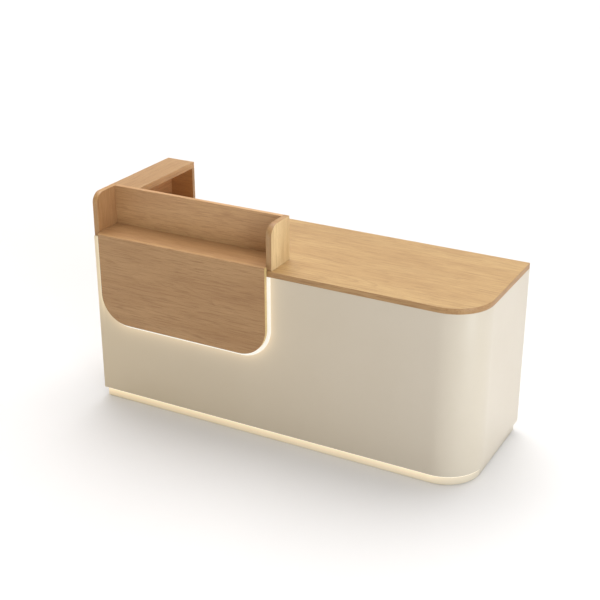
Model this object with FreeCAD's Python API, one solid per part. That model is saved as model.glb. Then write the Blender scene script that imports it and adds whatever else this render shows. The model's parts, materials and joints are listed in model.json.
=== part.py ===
import FreeCAD, Part
import os

# Checkout counter: a cream painted body with a rounded front right corner, a full length oak worktop,
# an oak display box on the left half with a proud oak front panel ringed by a light strip, and on the
# operator's side a keyboard tray, a printer niche, two drawers and a cupboard.
#
# Everything is drawn in millimetres from the front left corner of the painted body at floor level:
# X runs along the counter to the right as the customer sees it, Y runs from the customer to the
# operator and Z runs up. to_row_frame() then moves each piece so that the origin is the centre of
# the footprint of the whole counter, on the floor.

V = FreeCAD.Vector
UP = V(0, 0, 1)

# Driving dimensions
LENGTH = 1800.0
DEPTH = 600.0
WORKTOP_TOP = 795.0
RAISED_TOP = 990.0
CORNER_R = 170.0
BOARD_T = 18.0
WORKTOP_T = 25.0

# Plinth and base
PLINTH_H = 43.0
PLINTH_INSET = 12.0
FOOT_PAD_R = 22.0
FOOT_PAD_H = 8.0
FOOT_STEM_R = 6.0
FOOT_PLATE_H = 3.0
FOOT_INSET = 75.0
CURVE_GAP = 2.0

# Display box on the worktop
WING_T = 25.0
WING_FRONT_Y = 6.0
WING_CORNER_R = 48.0
BOX_LENGTH = 896.0
BOX_BACK_Y = 160.0
BOX_BACK_T = 20.0
SHELF_T = 20.0
LEDGE_WIDTH = 145.0
LEDGE_T = 28.0

# Oak front panel, its spacer and the light strips
PANEL_X0 = 37.0
PANEL_X1 = 878.0
PANEL_BOTTOM = 400.0
PANEL_R = 132.0
SPACER_T = 4.0
SPACER_INSET = 9.0
SPACER_TOP_GAP = 5.0
LIGHT_TUCK = 8.0
LIGHT_SHOWN = 15.0
PLINTH_LIGHT_Y0 = 2.0
PLINTH_LIGHT_W = 8.0
PLINTH_LIGHT_H = 3.0

# Operator's side
INNER_BACK_Y = 552.0
FRONT_STOP_GAP = 1.0
FRONT_GAP = 3.0
KNEE_WIDTH = 842.0
PEDESTAL_WIDTH = 402.0
NICHE_H = 162.0
RAIL_H = 80.0
PLINTH_BACK_INSET = 12.0
BLOCK = 25.0

# Bar handles
HANDLE_LENGTH = 160.0
HANDLE_REACH = 28.0
HANDLE_BAR_T = 8.0
HANDLE_BAR_H = 10.0
HANDLE_POST_R = 4.0
HANDLE_POST_INSET = 16.0
HANDLE_EASE = 2.0
HANDLE_DROP = 40.0

# Telescopic runners: three nested channels
RUNNER_T = 13.0
RUNNER_LENGTH = 450.0
RUNNER_GAUGE = 1.2
CHANNEL_H = 45.0
CHANNEL_DEPTH = 9.5
MIDDLE_H = 39.0
MIDDLE_OFFSET = 2.2
MIDDLE_DEPTH = 11.0
SLIDE_H = 32.0
SLIDE_OFFSET = 5.0

# Drawers
DRAWER_SIDE_T = 12.0
DRAWER_SIDE_H = 180.0
DRAWER_BOTTOM_T = 6.0
DRAWER_BOTTOM_UP = 10.0
DRAWER_LIFT = 14.0
DRAWER_GROOVE = 6.0

# Drawer lock
LOCK_X_INSET = 47.0
BARREL_R = 9.5
BARREL_FIT = 0.1
BARREL_FLANGE_R = 11.5
BARREL_FLANGE_T = 2.0
BARREL_BACK = 8.0
PLUG_R = 6.0
PLUG_FIT = 0.05
PLUG_PROUD = 1.5
KEYWAY_W = 1.6
KEYWAY_H = 8.0
KEYWAY_DEPTH = 9.0
CAM_T = 2.0
CAM_W = 12.0
CAM_REACH = 21.0
STRIKER_T = 3.0
STRIKER_W = 24.0
STRIKER_H = 12.0
STRIKER_GAP = 2.5

# Cupboard door on two butt hinges
HINGE_Z = (140.0, 640.0)
HINGE_H = 70.0
KNUCKLE_R = 4.0
KNUCKLE_CLEARANCE = 0.3
KNUCKLE_GAP = 0.5
PIN_R = 2.0
PIN_FIT = 0.05
PIN_HEAD_R = 3.4
PIN_HEAD_H = 1.5
LEAF_T = 1.2
LEAF_REACH = 30.0
MIDDLE_KNUCKLE_H = 25.4
SHELF_GAP = 2.0
SHELF_BACK_Y = 530.0
SHELF_Z = 400.0
SUPPORT = 12.0

# Keyboard tray
TRAY_T = 18.0
TRAY_DEPTH = 300.0
TRAY_BACK_Y = 545.0
TRAY_TOP = 683.0
TRAY_SIDE_ROOM = 39.0
TRAY_EDGE_R = 25.0
HANGER_DROP = 118.0
TRAY_RUNNER_LENGTH = 300.0

# Cable outlet and light driver
GROMMET_X = 450.0
GROMMET_Y = 205.0
GROMMET_BORE_R = 27.5
GROMMET_BODY_R = 30.2
GROMMET_HOLE_R = 30.5
GROMMET_FLANGE_R = 35.0
GROMMET_FLANGE_T = 2.0
DRIVER_SIZE = (160.0, 32.0, 45.0)
DRIVER_X0 = 200.0
DRIVER_Z0 = 560.0
DRIVER_EASE = 4.0

# Places that follow from the driving dimensions
BODY_TOP = WORKTOP_TOP - WORKTOP_T
CORNER_X = LENGTH - CORNER_R
CORNER_Y = CORNER_R
INNER_FRONT_Y = BOARD_T
BASE_TOP = PLINTH_H + BOARD_T
KNEE_X1 = BOARD_T + KNEE_WIDTH
PEDESTAL_X0 = KNEE_X1 + BOARD_T
PEDESTAL_X1 = PEDESTAL_X0 + PEDESTAL_WIDTH
CUPBOARD_X0 = PEDESTAL_X1 + BOARD_T
CUPBOARD_X1 = LENGTH - BOARD_T
NICHE_Z = BODY_TOP - NICHE_H
RISER_X1 = PANEL_X1 - BOARD_T
PANEL_BACK_Y = -SPACER_T
PANEL_FRONT_Y = PANEL_BACK_Y - BOARD_T
SHELF_TOP = WORKTOP_TOP + SHELF_T
FRONT_Y0 = INNER_BACK_Y + FRONT_STOP_GAP
FRONT_Y1 = FRONT_Y0 + BOARD_T
FRONT_BOTTOM = PLINTH_H + FRONT_GAP
FRONT_SPLIT_X = PEDESTAL_X1 + BOARD_T / 2
DRAWER_FRONT_X0 = KNEE_X1 + FRONT_GAP / 2
DRAWER_FRONT_X1 = FRONT_SPLIT_X - FRONT_GAP / 2
DRAWER_FRONT_TOP = NICHE_Z - FRONT_GAP / 2
DRAWER_FRONT_H = (DRAWER_FRONT_TOP - FRONT_BOTTOM - FRONT_GAP) / 2
DRAWER_X0 = PEDESTAL_X0 + RUNNER_T
DRAWER_X1 = PEDESTAL_X1 - RUNNER_T
DRAWER_Y0 = FRONT_Y0 - RUNNER_LENGTH
DOOR_X0 = FRONT_SPLIT_X + FRONT_GAP / 2
DOOR_X1 = CUPBOARD_X1 - FRONT_GAP
DOOR_TOP = BODY_TOP - FRONT_GAP
HINGE_X = CUPBOARD_X1 - KNUCKLE_R - KNUCKLE_GAP
HINGE_Y = FRONT_Y1 + KNUCKLE_R + KNUCKLE_CLEARANCE
LOCK_X = DRAWER_FRONT_X1 - LOCK_X_INSET
LOCK_Z = DRAWER_FRONT_TOP - HANDLE_DROP
TRAY_X0 = BOARD_T + TRAY_SIDE_ROOM + BOARD_T + RUNNER_T
TRAY_X1 = KNEE_X1 - TRAY_SIDE_ROOM - BOARD_T - RUNNER_T
ORIGIN = V(LENGTH / 2, (DEPTH + PANEL_FRONT_Y) / 2, 0)


def to_row_frame(shape):
    """Move a piece from the drawing corner to the centre of the footprint."""
    moved = shape.copy()
    moved.translate(ORIGIN.negative())
    return moved


def save(node, *solids):
    """Write one node's solids to its STEP file."""
    shape = solids[0] if len(solids) == 1 else Part.makeCompound(list(solids))
    to_row_frame(shape).exportStep("parts/" + node + ".step")


def board(x0, x1, y0, y1, z0, z1):
    """A square edged board between two corners."""
    return Part.makeBox(x1 - x0, y1 - y0, z1 - z0, V(x0, y0, z0))


def quarter_arc(centre, radius, side_a, side_b):
    """A quarter circle about centre, from the direction side_a to the direction side_b."""
    middle = (side_a + side_b).normalize()
    ends = [centre + side * radius for side in (side_a, middle, side_b)]
    return Part.Arc(*ends).toShape()


def solid_from(edges, depth):
    """Close the edges into a face and sweep it along the vector depth."""
    wire = Part.Wire(Part.__sortEdges__(edges))
    return Part.Face(wire).extrude(depth)


def line(start, end):
    return Part.makeLine(start, end)


def corner_plate(x0, x1, y0, y1, z0, z1, radius):
    """A flat board whose front right corner is rounded in plan."""
    edges = [
        line(V(x0, y0, z0), V(x1 - radius, y0, z0)),
        quarter_arc(V(x1 - radius, y0 + radius, z0), radius, V(0, -1, 0), V(1, 0, 0)),
        line(V(x1, y0 + radius, z0), V(x1, y1, z0)),
        line(V(x1, y1, z0), V(x0, y1, z0)),
        line(V(x0, y1, z0), V(x0, y0, z0)),
    ]
    return solid_from(edges, UP * (z1 - z0))


def corner_ring(outer_r, inner_r, z0, z1):
    """The quarter ring at the counter's front right corner."""
    outer = Part.makeCylinder(outer_r, z1 - z0, V(CORNER_X, CORNER_Y, z0), UP, 90)
    inner = Part.makeCylinder(inner_r, z1 - z0, V(CORNER_X, CORNER_Y, z0), UP, 90)
    ring = outer.cut(inner)
    ring.rotate(V(CORNER_X, CORNER_Y, z0), UP, -90)
    return ring


def apron(outset, y0, y1, top):
    """An upright plate with the front panel's outline, grown by outset, rounded at its two lower corners."""
    x0 = PANEL_X0 - outset
    x1 = PANEL_X1 + outset
    z0 = PANEL_BOTTOM - outset
    radius = PANEL_R + outset
    edges = [
        line(V(x0, y0, top), V(x0, y0, z0 + radius)),
        quarter_arc(V(x0 + radius, y0, z0 + radius), radius, V(-1, 0, 0), V(0, 0, -1)),
        line(V(x0 + radius, y0, z0), V(x1 - radius, y0, z0)),
        quarter_arc(V(x1 - radius, y0, z0 + radius), radius, V(0, 0, -1), V(1, 0, 0)),
        line(V(x1, y0, z0 + radius), V(x1, y0, top)),
        line(V(x1, y0, top), V(x0, y0, top)),
    ]
    return solid_from(edges, V(0, y1 - y0, 0))


def cylinder_y(x, z, y0, y1, radius):
    return Part.makeCylinder(radius, y1 - y0, V(x, y0, z), V(0, 1, 0))


def cylinder_z(x, y, z0, z1, radius):
    return Part.makeCylinder(radius, z1 - z0, V(x, y, z0), UP)


def channel(web_x, lip_x, y0, y1, z_mid, height):
    """A folded steel channel: its web stands at web_x and its two lips reach to lip_x."""
    into = 1 if lip_x > web_x else -1
    low = z_mid - height / 2
    high = z_mid + height / 2
    body = board(min(web_x, lip_x), max(web_x, lip_x), y0, y1, low, high)
    inside = web_x + into * RUNNER_GAUGE
    room = board(min(inside, lip_x), max(inside, lip_x), y0, y1, low + RUNNER_GAUGE, high - RUNNER_GAUGE)
    return body.cut(room)


def runner_member(member, face_x, into, y0, y1, z_mid):
    """One member of a runner on the upright face at face_x; into is +1 or -1 along X, towards the drawer."""
    if member == "channel":
        return channel(face_x, face_x + into * CHANNEL_DEPTH, y0, y1, z_mid, CHANNEL_H)
    if member == "middle":
        return channel(face_x + into * MIDDLE_OFFSET, face_x + into * MIDDLE_DEPTH, y0, y1, z_mid, MIDDLE_H)
    return channel(face_x + into * RUNNER_T, face_x + into * SLIDE_OFFSET, y0, y1, z_mid, SLIDE_H)


def runner_pair(member, x0, x1, y0, y1, z_mid):
    """The same member on the left and on the right of an opening from x0 to x1."""
    left = runner_member(member, x0, 1, y0, y1, z_mid)
    right = runner_member(member, x1, -1, y0, y1, z_mid)
    return left, right


def bar_handle(x, z, upright):
    """A slim bar on two posts, centred at x and z on a front's face."""
    half = HANDLE_LENGTH / 2
    half_h = HANDLE_BAR_H / 2
    reach_x = half_h if upright else half
    reach_z = half if upright else half_h
    bar_y0 = FRONT_Y1 + HANDLE_REACH - HANDLE_BAR_T
    bar = board(x - reach_x, x + reach_x, bar_y0, bar_y0 + HANDLE_BAR_T, z - reach_z, z + reach_z)
    handle = bar.makeFillet(HANDLE_EASE, bar.Edges)
    for end in (-1, 1):
        shift = end * (half - HANDLE_POST_INSET)
        post_x = x if upright else x + shift
        post_z = z + shift if upright else z
        post = cylinder_y(post_x, post_z, FRONT_Y1, bar_y0 + HANDLE_BAR_T / 2, HANDLE_POST_R)
        handle = handle.fuse(post)
    return handle.removeSplitter()


def make_plinth():
    """Recessed plinth frame, light strip under the body's edge, and feet under the base board."""
    x0 = PLINTH_INSET
    x1 = LENGTH - PLINTH_INSET
    y0 = PLINTH_INSET
    y1 = DEPTH - PLINTH_INSET
    back = INNER_BACK_Y - PLINTH_BACK_INSET
    save("plinth_front", board(x0, CORNER_X, y0, y0 + BOARD_T, 0, PLINTH_H))
    outer_r = CORNER_R - PLINTH_INSET
    save("plinth_corner", corner_ring(outer_r, outer_r - BOARD_T, 0, PLINTH_H))
    save("plinth_right", board(x1 - BOARD_T, x1, CORNER_Y, y1, 0, PLINTH_H))
    save("plinth_left", board(x0, x0 + BOARD_T, y0 + BOARD_T, y1, 0, PLINTH_H))
    save("plinth_back", board(x0 + BOARD_T, x1 - BOARD_T, back - BOARD_T, back, 0, PLINTH_H))
    light_z0 = PLINTH_H - PLINTH_LIGHT_H
    light_y1 = PLINTH_LIGHT_Y0 + PLINTH_LIGHT_W
    straight = board(x0, CORNER_X, PLINTH_LIGHT_Y0, light_y1, light_z0, PLINTH_H)
    bend = corner_ring(CORNER_R - PLINTH_LIGHT_Y0, CORNER_R - light_y1, light_z0, PLINTH_H)
    save("plinth_light", straight.fuse(bend).removeSplitter())
    feet = []
    for x in (FOOT_INSET, KNEE_X1, CUPBOARD_X0, CORNER_X):
        for y in (FOOT_INSET, back - FOOT_INSET):
            feet.append(levelling_foot(x, y))
    save("levelling_feet", *feet)


def levelling_foot(x, y):
    """A round pad on the floor, a stem and a plate screwed under the base board."""
    pad = cylinder_z(x, y, 0, FOOT_PAD_H, FOOT_PAD_R)
    stem = cylinder_z(x, y, FOOT_PAD_H, PLINTH_H - FOOT_PLATE_H, FOOT_STEM_R)
    plate = cylinder_z(x, y, PLINTH_H - FOOT_PLATE_H, PLINTH_H, FOOT_PAD_R)
    return pad.fuse([stem, plate])


def make_body():
    """Painted skin and the boards inside it; behind the oak panel the front rises to the shelf."""
    inner_r = CORNER_R - BOARD_T
    front = board(0, CORNER_X, 0, BOARD_T, PLINTH_H, BODY_TOP)
    riser = board(0, RISER_X1, 0, BOARD_T, BODY_TOP, WORKTOP_TOP)
    save("front_panel", front.fuse(riser).removeSplitter())
    save("corner_panel", corner_ring(CORNER_R, inner_r, PLINTH_H, BODY_TOP))
    save("right_end_panel", board(CUPBOARD_X1, LENGTH, CORNER_Y, DEPTH, PLINTH_H, BODY_TOP))
    save("left_end_panel", board(0, BOARD_T, BOARD_T, DEPTH, PLINTH_H, BODY_TOP))
    base_r = inner_r + CURVE_GAP
    base = corner_plate(BOARD_T, CUPBOARD_X1, INNER_FRONT_Y, INNER_BACK_Y, PLINTH_H, BASE_TOP, base_r)
    save("base_board", base)
    y0 = INNER_FRONT_Y
    y1 = INNER_BACK_Y
    save("knee_partition", board(KNEE_X1, PEDESTAL_X0, y0, y1, BASE_TOP, BODY_TOP))
    save("cupboard_partition", board(PEDESTAL_X1, CUPBOARD_X0, y0, y1, BASE_TOP, BODY_TOP))
    save("niche_board", board(PEDESTAL_X0, PEDESTAL_X1, y0, y1, NICHE_Z - BOARD_T, NICHE_Z))
    rail_y1 = INNER_FRONT_Y + BOARD_T
    save("front_rail", board(BOARD_T, KNEE_X1, INNER_FRONT_Y, rail_y1, BODY_TOP - RAIL_H, BODY_TOP))
    save("corner_blocks", *corner_blocks())


def corner_blocks():
    """Fixing blocks that tie the worktop to the ends and the partitions."""
    blocks = []
    y_places = (DEPTH / 3, DEPTH * 3 / 4)
    faces = ((BOARD_T, 1), (KNEE_X1, -1), (CUPBOARD_X0, 1), (CUPBOARD_X1, -1))
    for face_x, into in faces:
        x_far = face_x + into * BLOCK
        x0 = min(face_x, x_far)
        x1 = max(face_x, x_far)
        for y in y_places:
            blocks.append(board(x0, x1, y, y + BLOCK, BODY_TOP - BLOCK, BODY_TOP))
    return blocks


def make_worktop():
    """Full length worktop, cut back behind the front panel's riser, with its cable outlet."""
    top = corner_plate(0, LENGTH, 0, DEPTH, BODY_TOP, WORKTOP_TOP, CORNER_R)
    riser_notch = board(0, RISER_X1, 0, BOARD_T, BODY_TOP, WORKTOP_TOP)
    hole = cylinder_z(GROMMET_X, GROMMET_Y, BODY_TOP, WORKTOP_TOP, GROMMET_HOLE_R)
    save("worktop", top.cut([riser_notch, hole]))
    sleeve = cylinder_z(GROMMET_X, GROMMET_Y, BODY_TOP, WORKTOP_TOP, GROMMET_BODY_R)
    flange_top = WORKTOP_TOP + GROMMET_FLANGE_T
    flange = cylinder_z(GROMMET_X, GROMMET_Y, WORKTOP_TOP, flange_top, GROMMET_FLANGE_R)
    bore = cylinder_z(GROMMET_X, GROMMET_Y, BODY_TOP, flange_top, GROMMET_BORE_R)
    save("cable_grommet", sleeve.fuse(flange).cut(bore))


def wing(x0):
    """An upright end of the display box, rounded at its top front corner."""
    x1 = x0 + WING_T
    y0 = WING_FRONT_Y
    radius = WING_CORNER_R
    edges = [
        line(V(x0, y0, WORKTOP_TOP), V(x0, y0, RAISED_TOP - radius)),
        quarter_arc(V(x0, y0 + radius, RAISED_TOP - radius), radius, V(0, -1, 0), V(0, 0, 1)),
        line(V(x0, y0 + radius, RAISED_TOP), V(x0, BOX_BACK_Y, RAISED_TOP)),
        line(V(x0, BOX_BACK_Y, RAISED_TOP), V(x0, BOX_BACK_Y, WORKTOP_TOP)),
        line(V(x0, BOX_BACK_Y, WORKTOP_TOP), V(x0, y0, WORKTOP_TOP)),
    ]
    return solid_from(edges, V(x1 - x0, 0, 0))


def make_display_box():
    """Display box on the worktop, with the ledge that runs back along the counter's left end."""
    inner_x0 = WING_T
    inner_x1 = BOX_LENGTH - WING_T
    back_y0 = BOX_BACK_Y - BOX_BACK_T
    ledge_z0 = RAISED_TOP - LEDGE_T
    save("left_wing", wing(0))
    save("right_wing", wing(inner_x1))
    save("display_shelf", board(inner_x0, inner_x1, PANEL_BACK_Y, back_y0, WORKTOP_TOP, SHELF_TOP))
    save("display_back", board(inner_x0, inner_x1, back_y0, BOX_BACK_Y, WORKTOP_TOP, RAISED_TOP))
    save("ledge_side_board", board(0, WING_T, BOX_BACK_Y, DEPTH, WORKTOP_TOP, ledge_z0))
    save("ledge_top", board(0, LEDGE_WIDTH, BOX_BACK_Y, DEPTH, ledge_z0, RAISED_TOP))
    save("ledge_back_board", board(WING_T, LEDGE_WIDTH, DEPTH - BOARD_T, DEPTH, WORKTOP_TOP, ledge_z0))


def make_front_feature():
    """Oak front panel, the spacer behind it and the light strip round its edge."""
    save("oak_front_panel", apron(0, PANEL_FRONT_Y, PANEL_BACK_Y, SHELF_TOP))
    save("panel_spacer", apron(-SPACER_INSET, PANEL_BACK_Y, 0, WORKTOP_TOP - SPACER_TOP_GAP))
    outside = apron(LIGHT_SHOWN, PANEL_BACK_Y, 0, BODY_TOP)
    inside = apron(-LIGHT_TUCK, PANEL_BACK_Y, 0, BODY_TOP)
    left_leg = board(PANEL_X0 - LIGHT_SHOWN, PANEL_X0 + LIGHT_TUCK, PANEL_BACK_Y, 0, BODY_TOP, WORKTOP_TOP)
    save("halo_light", outside.cut(inside).fuse(left_leg).removeSplitter())
    size_x, size_y, size_z = DRIVER_SIZE
    driver = Part.makeBox(size_x, size_y, size_z, V(DRIVER_X0, INNER_FRONT_Y, DRIVER_Z0))
    far_edges = [edge for edge in driver.Edges if edge.BoundBox.YMin > INNER_FRONT_Y + DRIVER_EASE]
    save("led_driver", driver.makeFillet(DRIVER_EASE, far_edges))


def make_keyboard_tray():
    """Keyboard tray on two runners that hang from the worktop."""
    tray_y0 = TRAY_BACK_Y - TRAY_DEPTH
    tray_z0 = TRAY_TOP - TRAY_T
    hanger_z0 = BODY_TOP - HANGER_DROP
    left_x1 = TRAY_X0 - RUNNER_T
    right_x0 = TRAY_X1 + RUNNER_T
    left = board(left_x1 - BOARD_T, left_x1, tray_y0, TRAY_BACK_Y, hanger_z0, BODY_TOP)
    right = board(right_x0, right_x0 + BOARD_T, tray_y0, TRAY_BACK_Y, hanger_z0, BODY_TOP)
    save("tray_hangers", left, right)
    z_mid = (tray_z0 + TRAY_TOP) / 2
    runner_y1 = tray_y0 + TRAY_RUNNER_LENGTH
    save("tray_runner_channels", *runner_pair("channel", left_x1, right_x0, tray_y0, runner_y1, z_mid))
    save("tray_runner_slides", *runner_pair("slide", left_x1, right_x0, tray_y0, runner_y1, z_mid))
    tray = board(TRAY_X0, TRAY_X1, tray_y0, TRAY_BACK_Y, tray_z0, TRAY_TOP)
    corners = []
    for edge in tray.Edges:
        box = edge.BoundBox
        if box.ZLength > TRAY_T / 2 and box.YMin > TRAY_BACK_Y - TRAY_EDGE_R:
            corners.append(edge)
    save("keyboard_tray", tray.makeFillet(TRAY_EDGE_R, corners))


def make_drawer(name, front_z0):
    """A drawer: front, sides, back, bottom, handle and its pair of three member runners."""
    front_z1 = front_z0 + DRAWER_FRONT_H
    centre_x = (DRAWER_FRONT_X0 + DRAWER_FRONT_X1) / 2
    front = board(DRAWER_FRONT_X0, DRAWER_FRONT_X1, FRONT_Y0, FRONT_Y1, front_z0, front_z1)
    if name == "upper":
        front = front.cut(cylinder_y(LOCK_X, LOCK_Z, FRONT_Y0, FRONT_Y1, BARREL_R + BARREL_FIT))
    save(name + "_drawer_front", front)
    save(name + "_drawer_handle", bar_handle(centre_x, front_z1 - HANDLE_DROP, False))
    z0 = front_z0 + DRAWER_LIFT + BOARD_T
    z1 = z0 + DRAWER_SIDE_H
    inner_x0 = DRAWER_X0 + DRAWER_SIDE_T
    inner_x1 = DRAWER_X1 - DRAWER_SIDE_T
    inner_y0 = DRAWER_Y0 + DRAWER_SIDE_T
    bottom_z0 = z0 + DRAWER_BOTTOM_UP
    bottom = board(inner_x0 - DRAWER_GROOVE, inner_x1 + DRAWER_GROOVE, DRAWER_Y0 + DRAWER_GROOVE, FRONT_Y0,
                   bottom_z0, bottom_z0 + DRAWER_BOTTOM_T)
    sides = []
    for x0 in (DRAWER_X0, inner_x1):
        sides.append(board(x0, x0 + DRAWER_SIDE_T, DRAWER_Y0, FRONT_Y0, z0, z1).cut(bottom))
    save(name + "_drawer_sides", *sides)
    back = board(inner_x0, inner_x1, DRAWER_Y0, inner_y0, z0, z1)
    save(name + "_drawer_back", back.cut(bottom))
    save(name + "_drawer_bottom", bottom)
    z_mid = (z0 + z1) / 2
    for member in ("channel", "middle", "slide"):
        pair = runner_pair(member, PEDESTAL_X0, PEDESTAL_X1, DRAWER_Y0, INNER_BACK_Y, z_mid)
        save(name + "_runner_" + member + "s", *pair)


def make_lock():
    """Cam lock in the upper drawer's front, and the striker that the turned cam catches behind."""
    barrel_y0 = FRONT_Y0 - BARREL_BACK
    plug_y1 = FRONT_Y1 + PLUG_PROUD
    barrel = cylinder_y(LOCK_X, LOCK_Z, barrel_y0, FRONT_Y1, BARREL_R)
    flange = cylinder_y(LOCK_X, LOCK_Z, FRONT_Y1, FRONT_Y1 + BARREL_FLANGE_T, BARREL_FLANGE_R)
    bore = cylinder_y(LOCK_X, LOCK_Z, barrel_y0, FRONT_Y1 + BARREL_FLANGE_T, PLUG_R + PLUG_FIT)
    save("lock_barrel", barrel.fuse(flange).cut(bore))
    cam_y1 = barrel_y0 - CAM_T / 2
    cam_y0 = cam_y1 - CAM_T
    half_w = CAM_W / 2
    plug = cylinder_y(LOCK_X, LOCK_Z, cam_y1, plug_y1, PLUG_R)
    half_slot = KEYWAY_W / 2
    keyway = board(LOCK_X - half_slot, LOCK_X + half_slot, plug_y1 - KEYWAY_DEPTH, plug_y1,
                   LOCK_Z - KEYWAY_H / 2, LOCK_Z + KEYWAY_H / 2)
    cam = board(LOCK_X, LOCK_X + CAM_REACH, cam_y0, cam_y1, LOCK_Z - half_w, LOCK_Z + half_w)
    cam_root = cylinder_y(LOCK_X, LOCK_Z, cam_y0, cam_y1, half_w)
    save("lock_plug", plug.cut(keyway).fuse([cam, cam_root]))
    striker_top = NICHE_Z - BOARD_T
    striker_y0 = cam_y1 + STRIKER_GAP
    half_striker = STRIKER_W / 2
    save("lock_striker", board(LOCK_X - half_striker, LOCK_X + half_striker, striker_y0,
                               striker_y0 + STRIKER_T, striker_top - STRIKER_H, striker_top))


def knuckle(z0, z1):
    """One knuckle of a hinge, bored for the pin."""
    solid = cylinder_z(HINGE_X, HINGE_Y, z0, z1, KNUCKLE_R)
    return solid.cut(cylinder_z(HINGE_X, HINGE_Y, z0, z1, PIN_R + PIN_FIT))


def make_hinge(z0):
    """The frame's leaf, the door's leaf and the pin of one butt hinge whose lower end is at z0."""
    z1 = z0 + HINGE_H
    low = z0 + (HINGE_H - MIDDLE_KNUCKLE_H) / 2
    high = z1 - (HINGE_H - MIDDLE_KNUCKLE_H) / 2
    leaf_y0 = HINGE_Y - LEAF_REACH
    pin_room = cylinder_z(HINGE_X, HINGE_Y, z0, z1, PIN_R + PIN_FIT)
    frame_leaf = board(CUPBOARD_X1 - LEAF_T, CUPBOARD_X1, leaf_y0, HINGE_Y, z0, z1)
    notch = board(CUPBOARD_X1 - LEAF_T, CUPBOARD_X1, FRONT_Y1, HINGE_Y, low, high)
    outer_knuckles = [knuckle(z0, low - KNUCKLE_GAP), knuckle(high + KNUCKLE_GAP, z1)]
    frame_part = frame_leaf.cut(notch).fuse(outer_knuckles)
    door_leaf = board(DOOR_X1, DOOR_X1 + LEAF_T, leaf_y0, HINGE_Y, z0, z1)
    for end_z0, end_z1 in ((z0, low), (high, z1)):
        door_leaf = door_leaf.cut(board(DOOR_X1, DOOR_X1 + LEAF_T, FRONT_Y1, HINGE_Y, end_z0, end_z1))
    door_part = door_leaf.fuse(knuckle(low, high)).cut(pin_room)
    pin = cylinder_z(HINGE_X, HINGE_Y, z0, z1, PIN_R)
    for head_z0 in (z0 - PIN_HEAD_H, z1):
        pin = pin.fuse(cylinder_z(HINGE_X, HINGE_Y, head_z0, head_z0 + PIN_HEAD_H, PIN_HEAD_R))
    return frame_part.removeSplitter(), door_part.removeSplitter(), pin.removeSplitter()


def make_cupboard():
    """Cupboard door on its hinges, and the shelf inside."""
    save("cupboard_door", board(DOOR_X0, DOOR_X1, FRONT_Y0, FRONT_Y1, FRONT_BOTTOM, DOOR_TOP))
    handle_x = DOOR_X0 + HANDLE_DROP
    save("door_handle", bar_handle(handle_x, DOOR_TOP - HANDLE_DROP - HANDLE_LENGTH / 2, True))
    hinges = [make_hinge(z0) for z0 in HINGE_Z]
    frame_leaves, door_leaves, pins = zip(*hinges)
    save("hinge_frame_leaves", *frame_leaves)
    save("hinge_door_leaves", *door_leaves)
    save("hinge_pins", *pins)
    x0 = CUPBOARD_X0 + SHELF_GAP
    x1 = CUPBOARD_X1 - SHELF_GAP
    radius = CORNER_R - BOARD_T - SHELF_GAP
    shelf = corner_plate(x0, x1, INNER_FRONT_Y + SHELF_GAP, SHELF_BACK_Y, SHELF_Z, SHELF_Z + BOARD_T, radius)
    save("cupboard_shelf", shelf)
    supports = []
    for face_x in (CUPBOARD_X0, CUPBOARD_X1 - SUPPORT):
        for y in (CORNER_Y + SUPPORT, SHELF_BACK_Y - SUPPORT * 4):
            supports.append(board(face_x, face_x + SUPPORT, y, y + SUPPORT, SHELF_Z - SUPPORT, SHELF_Z))
    save("shelf_supports", *supports)


def main():
    os.makedirs("parts", exist_ok=True)
    make_plinth()
    make_body()
    make_worktop()
    make_display_box()
    make_front_feature()
    make_keyboard_tray()
    make_drawer("upper", DRAWER_FRONT_TOP - DRAWER_FRONT_H)
    make_drawer("lower", FRONT_BOTTOM)
    make_lock()
    make_cupboard()


main()
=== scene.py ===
import json
import math

import bmesh
import bpy
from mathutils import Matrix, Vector


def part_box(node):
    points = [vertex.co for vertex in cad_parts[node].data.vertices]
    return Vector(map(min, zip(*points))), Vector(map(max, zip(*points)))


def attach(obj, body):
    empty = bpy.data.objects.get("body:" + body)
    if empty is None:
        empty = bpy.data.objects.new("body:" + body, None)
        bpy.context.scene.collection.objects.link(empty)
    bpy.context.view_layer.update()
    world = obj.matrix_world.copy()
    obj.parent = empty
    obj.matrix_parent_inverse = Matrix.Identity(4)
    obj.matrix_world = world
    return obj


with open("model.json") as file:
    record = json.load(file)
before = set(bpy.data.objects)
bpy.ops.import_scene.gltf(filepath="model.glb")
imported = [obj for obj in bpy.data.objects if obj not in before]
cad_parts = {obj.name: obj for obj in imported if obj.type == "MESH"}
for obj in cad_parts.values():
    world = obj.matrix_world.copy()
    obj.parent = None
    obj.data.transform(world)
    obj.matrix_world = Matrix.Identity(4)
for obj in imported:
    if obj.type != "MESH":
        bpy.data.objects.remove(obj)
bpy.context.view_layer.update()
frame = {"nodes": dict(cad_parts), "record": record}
NODES = frame["nodes"]
SLOT_OF = {s["node"]: s["material_slot"] for s in frame["record"]["subparts"]}

# Camera: its place in metres, its azimuth from the front towards the counter's right end and its
# elevation in degrees, its lens and sensor in millimetres
CAMERA_PLACE = (2.2715, -4.2797, 2.6955)
CAMERA_AZIMUTH = 28.2
CAMERA_ELEVATION = 23.8
CAMERA_LENS = 72.76
CAMERA_SENSOR = 36.0

# Places on the counter that the looks depend on, in metres
FRONT_LOW, FRONT_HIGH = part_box("front_panel")
PANEL_LOW, PANEL_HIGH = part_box("oak_front_panel")
PLINTH_LOW, PLINTH_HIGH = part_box("plinth_front")
LIGHT_MARGIN = PANEL_LOW.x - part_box("halo_light")[0].x
PANEL_ROUND = 0.132

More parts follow.
